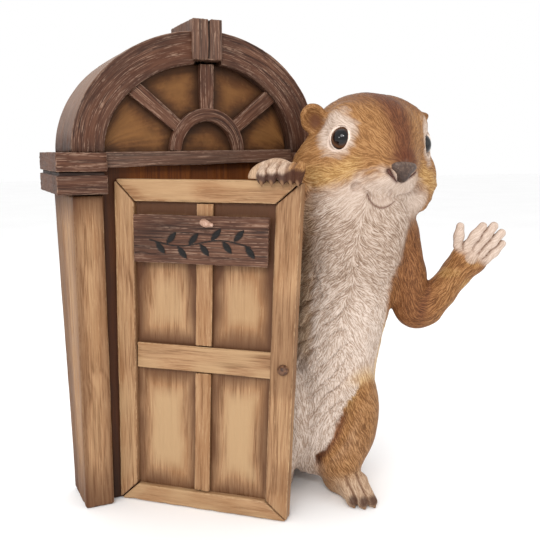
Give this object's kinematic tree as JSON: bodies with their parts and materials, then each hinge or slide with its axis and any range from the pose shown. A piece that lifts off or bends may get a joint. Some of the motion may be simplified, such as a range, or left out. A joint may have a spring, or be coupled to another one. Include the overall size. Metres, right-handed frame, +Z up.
{
  "type": "squirrel fairy door statue",
  "caption": "Garden statue of a squirrel leaning out from behind a small arched panel door that stands ajar, one paw on the door top and the other waving.",
  "frame": {"origin": "middle of the statue's overall box, on the surface it stands on", "axes": "+X across the doorway to the right seen from the front, -Y the front, +Z up"},
  "size_m": [0.2828, 0.1772, 0.3287],
  "materials": {
    "dark_wood": "satin paint, walnut grain",
    "light_wood": "satin paint, honey grain",
    "recess_brown": "satin paint",
    "fan_ochre": "satin paint",
    "brown_fur": "satin paint over carved fur",
    "cream_fur": "satin paint over carved fur",
    "eye_black": "gloss",
    "nose_brown": "satin",
    "nail_tan": "satin",
    "knob_brown": "satin",
    "dowel_steel": "plain"
  },
  "bodies": {
    "root": {"left_capital_lower": "dark_wood", "left_capital_upper": "dark_wood", "right_capital_lower": "dark_wood", "right_capital_upper": "dark_wood", "lintel": "dark_wood", "arch_left": "dark_wood", "arch_right": "dark_wood", "keystone": "dark_wood", "fanlight_hub": "dark_wood", "spoke_left": "dark_wood", "spoke_centre": "dark_wood", "spoke_right": "dark_wood", "sign_board": "dark_wood", "left_jamb": "light_wood", "right_jamb": "light_wood", "rear_panel": "light_wood", "door_stile_hinge": "light_wood", "door_stile_free": "light_wood", "door_rail_top": "light_wood", "door_rail_bottom": "light_wood", "door_panel": "light_wood", "door_mid_rail": "light_wood", "door_muntin_upper": "light_wood", "door_muntin_lower": "light_wood", "doorway_panel": "recess_brown", "fanlight_panel": "fan_ochre", "head": "brown_fur", "ear_left": "brown_fur", "ear_right": "brown_fur", "waving_arm": "brown_fur", "gripping_arm": "brown_fur", "left_leg": "brown_fur", "right_leg": "brown_fur", "tail": "brown_fur", "torso": "cream_fur", "eye_left": "eye_black", "eye_right": "eye_black", "nose": "nose_brown", "sign_nail": "nail_tan", "door_knob": "knob_brown", "neck_dowel": "dowel_steel", "right_shoulder_dowel": "dowel_steel", "left_shoulder_dowel": "dowel_steel"}
  },
  "joints": []
}
